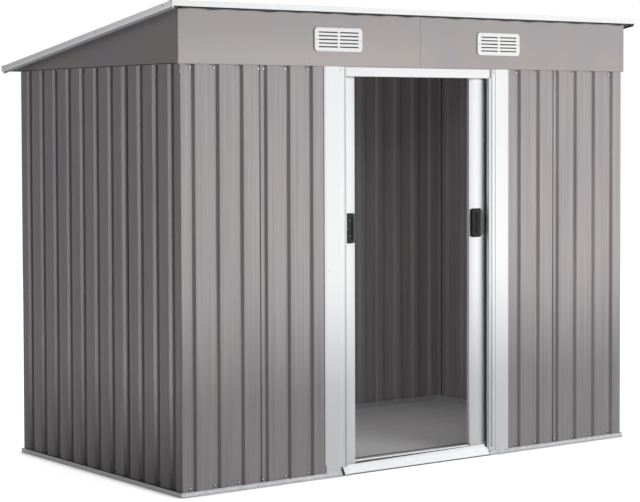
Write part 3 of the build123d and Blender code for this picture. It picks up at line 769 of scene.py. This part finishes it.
def roof_screws(axes, length, ridge, width):
    """Screws in the roof's valleys, in rows over the front beam, the middle beam and the rear edge."""
    origin, along, inwards, back = (np.asarray(v, float) for v in axes)
    valleys = ridge + ROOF_PITCH * (np.arange(0, 17) + 0.5)
    spots = [origin + u * along + ROOF_RIB_DEPTH * inwards + h * back
             for u in valleys if 0.03 < u < width - 0.03
             for h in (ROOF_SCREW_INSET, 0.5 * length, length - ROOF_SCREW_INSET)]
    screws("roof_screws", spots, -inwards, SCREW, washers=True)


# Doors

def door_sheets():
    """Ribbed sheet of each sliding door."""
    for side in ("left", "right"):
        node = side + "_door_panel"
        low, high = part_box(node)
        axes = ((low[0], low[1], low[2]), (1, 0, 0), (0, 1, 0), (0, 0, 1))
        length = high[0] - low[0]
        mesh = rolled_sheet(axes, length, high[2] - low[2], FRONT_PITCH, length / 2)
        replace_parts(piece(side + "_door_sheet", mesh, PAINT_X, body=side + "_door"), node)


def handle_details():
    """Three rivets on each door's pull plate, and the rounded lip along its edge: an ellipse 19 mm wide,
    carried up the plate, drawn in a little at both ends and flattened behind."""
    half_width = 0.0095
    share = np.linspace(0.0, 1.0, 25)[:, None]
    angle = np.linspace(0.0, 2 * math.pi, 24, endpoint=False)
    drawn = np.clip(np.sin(math.pi * share), 0.0, 1.0) ** 0.2
    for side, sign, finish in (("left", 1, SHADED_ZINC), ("right", -1, BLACK)):
        low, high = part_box(side + "_door_handle")
        near = high[0] if sign > 0 else low[0]
        spots = [(near - sign * x, HANDLE_PLATE_Y, high[2] - z) for x, z in RIVETS]
        screws(side + "_handle_rivets", spots, (0, -1, 0), finish, body=side + "_door", size=0.72)
        x = near - sign * 0.0005 + half_width * (0.75 + 0.25 * drawn) * np.cos(angle)
        y = HANDLE_PLATE_Y + 0.0045 - (0.0032 + 0.0045 * drawn) * np.sin(angle).clip(-0.9, 1.0)
        z = low[2] + 0.002 + (high[2] - low[2] - 0.004) * share + 0 * angle
        piece(side + "_handle_lip", loft(np.stack([x, y, z], axis=-1)), BLACK, side + "_door")


def stile_details():
    """Each stile's folded flange beside the door sheet, and its foot, which hangs in front of the guide lip
    with a flatter bow than the stile's: a parabola 3.6 mm deep over its width."""
    flange_width = 0.0106
    bow = 0.0036
    inset = 0.0006
    foot = 0.0308
    across = np.linspace(0.0, 1.0, 17)
    for side, sign in (("left", 1), ("right", -1)):
        low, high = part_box(side + "_door_stile")
        far = low[0] if sign > 0 else high[0]
        flange = upright(far - sign * 0.0048, low[1] + 0.0078, low[2] + 0.001, high[2] - 0.001, flange_width,
                         0.0013, 0.0005)
        piece(side + "_stile_flange", flange, WHITE, side + "_door")
        x = low[0] + inset + (high[0] - low[0] - 2 * inset) * across
        front = low[1] + 0.0004 + bow * (2 * across - 1) ** 2
        back = 0 * x + low[1] + 0.0048
        ring = np.stack([np.concatenate([x, x[::-1]]), np.concatenate([front, back])], axis=-1)
        rings = [np.column_stack([ring, np.full(len(ring), z)]) for z in (foot, low[2] + 0.0008)]
        piece(side + "_stile_foot", loft(np.array(rings)), WHITE, side + "_door")


# Trims, laps and hems

def fascia_details():
    """Lap between the two fascia lengths, the caps over its ends, its rolled lower hem and its screws."""
    low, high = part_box("fascia_right")
    left = corner("fascia_left", False, 0)
    face = low[1]
    sunk = 0.0004
    hem_radius = 0.0018
    cap_inset = 0.0105
    foot, head = low[2] + sunk, high[2] - sunk
    strips = [upright(0.0055, face + sunk, foot, head, 0.013, 0.0014)]
    for x in (high[0] - cap_inset, left + cap_inset):
        strips.append(upright(x, face + sunk, foot, head, 0.018, 0.0012))
    piece("fascia_laps", joined(strips), PAINT_FLAT)
    y, z = face + 0.0010, low[2] + hem_radius
    piece("fascia_hem", rod((left + 0.0008, y, z), (high[0] - 0.0008, y, z), hem_radius), PAINT_FLAT)
    spots = [(LEFT_X + x, face - 0.0012, z)
             for x in (CAP_SCREW_INSET, WALL_WIDTH - CAP_SCREW_INSET) for z in CAP_SCREW_HEIGHTS]
    spots += [(LEFT_X + x, face, z) for x in FASCIA_SCREWS for z in FASCIA_SCREW_HEIGHTS]
    screws("fascia_screws", spots, (0, -1, 0), PAINTED_SCREW, size=0.85)


def gable_hems():
    """Rolled lower edge of each gable, in dark rubber that paints the shade line along the wall's top."""
    radius = 0.0018
    for side, sign in (("left", 1), ("right", -1)):
        low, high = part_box(side + "_gable")
        x = (low[0] if sign > 0 else high[0]) + sign * 0.0010
        z = low[2] + radius
        hem = rod((x, low[1] + 0.001, z), (x, high[1] - 0.001, z), radius)
        # Painted shade: the hem is dark rubber to draw the shade line under the gable.
        piece(side + "_gable_hem", hem, RUBBER)


def jamb_details():
    """Rolled hems along both edges of each jamb, the return folded back beside the doorway, the crease over
    its foot and its screws. The left jamb has an outer flange, and a dark strip paints the shade of the gap
    between the header and the right jamb."""
    hem_radius = 0.0021
    hem_inset = 0.0022
    hem_back = 0.0013
    gauge = 0.0012
    hems = []
    returns = []
    spots = []
    for side, sign in (("left", -1), ("right", 1)):
        low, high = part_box(side + "_jamb")
        outer, inner = (low[0], high[0]) if sign < 0 else (high[0], low[0])
        face = low[1]
        lip = face + 0.003
        for x, y in ((outer - sign * hem_inset, face + hem_back), (inner + sign * hem_inset, lip + hem_back)):
            hems.append(rod((x, y, low[2] + 0.001), (x, y, high[2] - 0.0005), hem_radius))
        x, y = inner + sign * 0.0002, face + 0.0035 + JAMB_RETURN / 2
        returns.append(bar((x, y, low[2] + 0.004), (x, y, high[2] - 0.022), (0, 1, 0), (sign, 0, 0),
                           JAMB_RETURN, gauge, 0.0005))
        x, y = outer - sign * 0.008, face + 0.0002
        hems.append(level(x, outer - sign * 0.060, y, 0.034, 0.003, 0.0009, 0.0004))
        spots += [(outer - sign * place, face, z) for place, z in JAMB_SCREWS]
        spots.append((inner + sign * JAMB_LIP_SCREW[0], lip, JAMB_LIP_SCREW[1]))
        if side == "left":
            x, y = outer - 0.0026, face + 0.0006
            hems.append(upright(x, y, 0.045, high[2] - 0.0005, 0.0056, 0.0011, 0.0004))
        else:
            x, y = inner + 0.0062, face + 0.0029
            # Painted shade: a dark rubber strip stands for the shadowed gap at the header's right end.
            gap = upright(x, y, 1.4245, high[2] - 0.001, 0.0034, 0.0008, 0.0003)
            piece("header_end_gap_shade", gap, RUBBER)
    piece("jamb_hems", joined(hems), WHITE_JAMB)
    piece("jamb_returns", joined(returns), WHITE)
    screws("jamb_screws", spots, (0, -1, 0), SCREW, size=0.85)


def rail_ridges():
    """Two rolled ridges along the outer face of the floor rails."""
    low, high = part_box("base_rail_front")[0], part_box("base_rail_rear")[1]
    door = corner("sill_ramp", True, 0) + 0.002
    ridges = []
    for z, radius in ((0.0138, 0.0021), (0.0050, 0.0014)):
        sunk = radius * 0.45
        for x0, x1 in ((low[0], -door), (door, high[0])):
            ridges.append(rod((x0, low[1] + sunk, z), (x1, low[1] + sunk, z), radius))
        ridges.append(rod((low[0], high[1] - sunk, z), (high[0], high[1] - sunk, z), radius))
        for x in (low[0] + sunk, high[0] - sunk):
            ridges.append(rod((x, low[1], z), (x, high[1], z), radius))
    piece("rail_ridges", joined(ridges), ZINC)


def vent_details():
    """Raised rim above and below each vent's louvres, and its two screws."""
    screw_inset = 0.009
    rim_inset = 0.018
    rim_drop = 0.0042
    rims = []
    spots = []
    for side in ("left", "right"):
        low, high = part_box("vent_" + side)
        face, middle = low[1], (low[2] + high[2]) / 2
        spots += [(x, face, middle - 0.002) for x in (low[0] + screw_inset, high[0] - screw_inset)]
        for z in (low[2] + rim_drop, high[2] - rim_drop):
            ends = low[0] + rim_inset, high[0] - rim_inset
            rims.append(level(*ends, face + 0.0004, z, 0.0022, 0.0012, 0.0005))
    piece("vent_rims", joined(rims), VENT)
    screws("vent_screws", spots, (0, -1, 0), PAINTED_SCREW, size=0.55)


# Sill and roof edge

def ramp_details():
    """The sill ramp's left end, carried on in front of the jamb's foot, and a dark rubber plate that paints
    the
    shade in its open end: two slanting plates side by side, each between a foot line and a top line. Along
    its crest stands a folded lip, which rises by 7 mm to the right, and under its toe a thin dark rubber
    strip paints the shadow where it meets the floor."""
    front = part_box("base_rail_front")[0][1]
    low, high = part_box("sill_ramp")
    edge = low[0]
    foot = 0.0283
    section = ((RAMP_LIP_FRONT, 0), (RAMP_LIP_BACK, 0), (RAMP_LIP_BACK, 1), (RAMP_LIP_FRONT, 1))
    lip = [[(x, y, top if up else foot) for y, up in section]
           for x, top in ((edge + 0.0010, 0.0328), (high[0] - 0.0110, 0.0402))]
    piece("ramp_lip", loft(np.array(lip)), WHITE)
    # Painted shadow: a thin dark rubber strip under the ramp's toe.
    y, z = low[1] - 0.0026, 0.0012
    strip = bar((edge - 0.0180, y, z), (high[0], y, z), (0, 1, 0), (0, 0, 1), 0.0046, 0.0022)
    piece("ramp_toe_shade_strip", strip, RUBBER)
    # Painted shade: the rubber plate stands for the shade inside the ramp's open end.
    for name, foot, top, finish, slot in (
            ("ramp_end", (-0.0185, 0.0018), (-0.0275, 0.0012), WHITE, "trim_white"),
            ("ramp_end_shade_plate", (-0.0265, -0.0188), (-0.0315, -0.0279), RUBBER, "handle_black")):
        low_ring = [(foot[0], -0.0044), (foot[1], -0.0044), (foot[1], -0.0004), (foot[0], -0.0004)]
        top_ring = [(top[0], -0.0016), (top[1], -0.0016), (top[1], -0.0004), (top[0], -0.0004)]
        rings = [[(edge + x, front + y, z) for x, y in ring]
                 for ring, z in ((low_ring, 0.0026), (top_ring, 0.0310))]
        piece(name, loft(np.array(rings)), finish)


def roof_edge_foam():
    """Dark foam closure between the front trim and the fascia, which also paints the shade under the trim:
    its lower edge waves with the roof's ribs, a cosine of their pitch with a slow uneven swell, and shows as
    a dark line under the trim."""
    low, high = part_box("roof_trim_front")
    x = np.linspace(low[0] + 0.040, high[0] - 0.040, 420)[:, None]
    wave = 0.0017 * np.cos(2 * math.pi * (x + 0.012) / ROOF_PITCH)
    swell = 0.0011 * np.sin(x * 23.0 + 2.0 * np.sin(x * 7.0))
    bottom = low[2] - 0.0048 + wave + swell
    side = bottom + 0.003
    near, far = low[1] + 0.0045, corner("fascia_left", False, 1) - 0.0008
    y = np.array([near, near, (near + far) / 2, far, far])
    z = np.concatenate([0 * x + low[2] + 0.006, side, bottom, side, 0 * x + low[2] - 0.0035], axis=1)
    rings = np.stack([x + 0 * y, y + 0 * x, z], axis=-1)
    # Partly painted shade: the foam hangs below the trim to draw the shadow line there.
    piece("roof_edge_foam", loft(rings), RUBBER)


# Studio

def seen_rays(tree):
    """1 for rays from the camera, from a glossy surface or through a clear one, and 0 for all other light."""
    ray = add_node(tree, "ShaderNodeLightPath")
    seen = Wire(tree, ray.outputs["Is Camera Ray"])
    for kind in ("Is Glossy Ray", "Is Transmission Ray"):
        seen = seen.math("MAXIMUM", seen, Wire(tree, ray.outputs[kind]))
    return seen


def stage_piece(name, points):
    """Flat piece of the stage inside an outline."""
    mesh = bpy.data.meshes.new(name)
    mesh.from_pydata(points, [], [tuple(range(len(points)))])
    obj = bpy.data.objects.new(name, mesh)
    bpy.context.scene.collection.objects.link(obj)
    return obj


def studio_floor():
    """Pale floor. Where it is seen it is nearly white and keeps the shadows, with a painted shadow, from
    ambient occlusion, where it meets the shed. To all other light it is matt grey."""
    finish = Finish("studio_floor")
    away = finish.node("ShaderNodeVectorMath", {"operation": "LENGTH"}, {0: finish.place}, output=1)
    far = away.clamped(2.6, 7.0)
    open_sky = finish.node("ShaderNodeAmbientOcclusion", {"samples": 16}, {"Distance": CONTACT_REACH}, 1)
    # Painted shadow: the seen floor is darkened where ambient occlusion finds the shed near.
    near = (1.0 - open_sky.clamped(0.5, 0.97)) * (1.0 - away.clamped(1.35, 1.6))
    contact_shadow = 1.0 - near * CONTACT_SHADOW_DARKNESS
    matt = finish.node("ShaderNodeBsdfDiffuse", values={"Color": rgb(0.45, 0.45, 0.45)})
    white = finish.node("ShaderNodeBsdfDiffuse", values={"Color": contact_shadow * 0.62})
    glow = finish.node("ShaderNodeEmission", values={"Strength": contact_shadow * (0.92 + far * 0.08)})
    both = finish.node("ShaderNodeAddShader", values={0: white, 1: glow})
    choice = finish.node("ShaderNodeMixShader", values={0: seen_rays(finish.tree), 1: matt, 2: both})
    half = 60.0
    floor = stage_piece("studio_floor", [(x * half, y * half, -0.0005)
                                         for x, y in ((-1, -1), (1, -1), (1, 1), (-1, 1))])
    floor.data.materials.append(finish.shown(choice))


def studio_world():
    """World that gives a weak even light, and is white where it is seen."""
    world = bpy.data.worlds.new("studio_world")
    world.use_nodes = True
    tree = world.node_tree
    tree.nodes.clear()
    strength = SKY + seen_rays(tree) * (1.0 - SKY)
    sky = add_node(tree, "ShaderNodeBackground", values={"Color": rgb(1.0, 1.0, 1.0), "Strength": strength})
    add_node(tree, "ShaderNodeOutputWorld", values={"Surface": Wire(tree, sky.outputs[0])})
    bpy.context.scene.world = world


def aim(place, target):
    """Turn of a lamp at a place so that it faces a target: its -Z points there."""
    away = Vector(place) - Vector(target)
    return Matrix.Translation(place) @ away.to_track_quat("Z", "Y").to_matrix().to_4x4()


def lamp(name, place, target, width, height, power, colour=(1.0, 1.0, 1.0), spread=180.0):
    """Oblong lamp of a width and height in metres and a power in watts."""
    data = bpy.data.lights.new(name, "AREA")
    data.shape = "RECTANGLE"
    data.size = width
    data.size_y = height
    data.energy = power
    data.color = colour
    data.spread = math.radians(spread)
    obj = bpy.data.objects.new(name, data)
    obj.matrix_world = aim(place, target)
    bpy.context.scene.collection.objects.link(obj)
    return obj


def lit_alone(light, name, pieces):
    """A lamp lights only the pieces named."""
    group = bpy.data.collections.new(name)
    for part in pieces:
        group.objects.link(bpy.data.objects[part] if part in bpy.data.objects else frame["nodes"][part])
    light.light_linking.receiver_collection = group


def lamps():
    """A high lamp and a low one in front, one overhead, one behind, three weak ones for the daylight inside,
    and one each for the left wall, the left eave and the sill alone."""
    lamp("high_lamp", (2.3, -9.0, 3.2), (0.2, FRONT_Y, 0.8), 7.0, 1.5, 490.0, (0.98, 1.0, 1.0))
    lamp("low_lamp", (2.7, -5.5, 0.25), (0.3, FRONT_Y, 0.8), 5.0, 0.4, 140.0, (1.0, 0.985, 0.955))
    lamp("top_lamp", (1.2, -0.2, 5.0), (1.2, -0.21, 0.0), 4.0, 4.0, 130.0)
    for inside in (lamp("doorway_lamp", (-0.10, -0.485, 0.80), (0.2, 0.6, 0.75), 0.3, 1.2, 2.3),
                   lamp("left_inside_lamp", (-0.80, -0.35, 0.80), (-0.5, 0.6, 0.75), 0.3, 1.1, 2.9),
                   lamp("inside_lamp", (0.50, 0.05, 1.38), (0.50, 0.04, 0.0), 1.0, 0.8, 0.95, spread=75.0)):
        inside.visible_camera = False
    lamp("rear_lamp", (2.5, 7.5, 3.0), (0.0, 0.5, 0.9), 5.0, 2.0, 260.0)
    side = lamp("left_wall_lamp", (-2.65, -6.0, 0.3), (LEFT_X, 0.0, 0.75), 0.8, 0.4, 207.0, (0.98, 0.97, 1.0))
    lit_alone(side, "left_wall_pieces", ("left_sheets", "left_gable", "left_gable_hem", "left_wall_screws",
                                         "left_wall_washers", "roof_trim_left"))
    eave = lamp("eave_lamp", (-4.2, -3.5, 1.9), (LEFT_X, 0.0, 1.6), 0.8, 0.4, 84.0, (1.0, 0.99, 1.0))
    lit_alone(eave, "eave_pieces", ("roof_trim_left",))
    sill = lamp("sill_lamp", (0.6, -2.6, 1.4), (0.0, -0.58, 0.02), 0.8, 0.4, 29.0)
    lit_alone(sill, "sill_pieces", ("sill_ramp", "ramp_end", "ramp_lip", "door_track_bottom",
                                    "base_rail_front"))


def shading_board():
    """Board that only casts a shadow: it keeps the two low lamps off the foot of the walls."""
    outline = ((-2.8, 0.0), (7.0, 0.0), (7.0, 0.37), (-1.0, 0.37), (-1.5, 0.25), (-2.8, 0.25))
    board = stage_piece("board", [(x, -3.0, z) for x, z in outline])
    for ray in ("camera", "diffuse", "glossy", "transmission"):
        setattr(board, "visible_" + ray, False)


def camera():
    """Camera of the photograph: its place, its yaw to the right, pitch down and roll, and its shift."""
    place = (-4.460, -5.987, 1.259)
    yaw = 0.6374
    pitch = 0.0369
    roll = 0.0032
    forward = np.array([math.sin(yaw) * math.cos(pitch), math.cos(yaw) * math.cos(pitch), -math.sin(pitch)])
    right = np.array([math.cos(yaw), -math.sin(yaw), 0.0])
    down = np.cross(forward, right)
    matrix = np.eye(4)
    matrix[:3, 0] = math.cos(roll) * right + math.sin(roll) * down
    matrix[:3, 1] = math.sin(roll) * right - math.cos(roll) * down
    matrix[:3, 2] = -forward
    matrix[:3, 3] = place
    data = bpy.data.cameras.new("camera")
    data.sensor_width = 36.0
    data.lens = 107.48
    data.shift_y = -0.09
    data.clip_end = 200.0
    obj = bpy.data.objects.new("camera", data)
    obj.matrix_world = Matrix(matrix.tolist())
    bpy.context.scene.collection.objects.link(obj)
    bpy.context.scene.camera = obj


dress_frame()
wall_sheets()
wall_screws()
roof_screws(*roof_sheets())
door_sheets()
handle_details()
stile_details()
fascia_details()
gable_hems()
jamb_details()
rail_ridges()
vent_details()
ramp_details()
roof_edge_foam()
studio_floor()
studio_world()
lamps()
shading_board()
camera()
bpy.context.scene.view_settings.view_transform = "Standard"
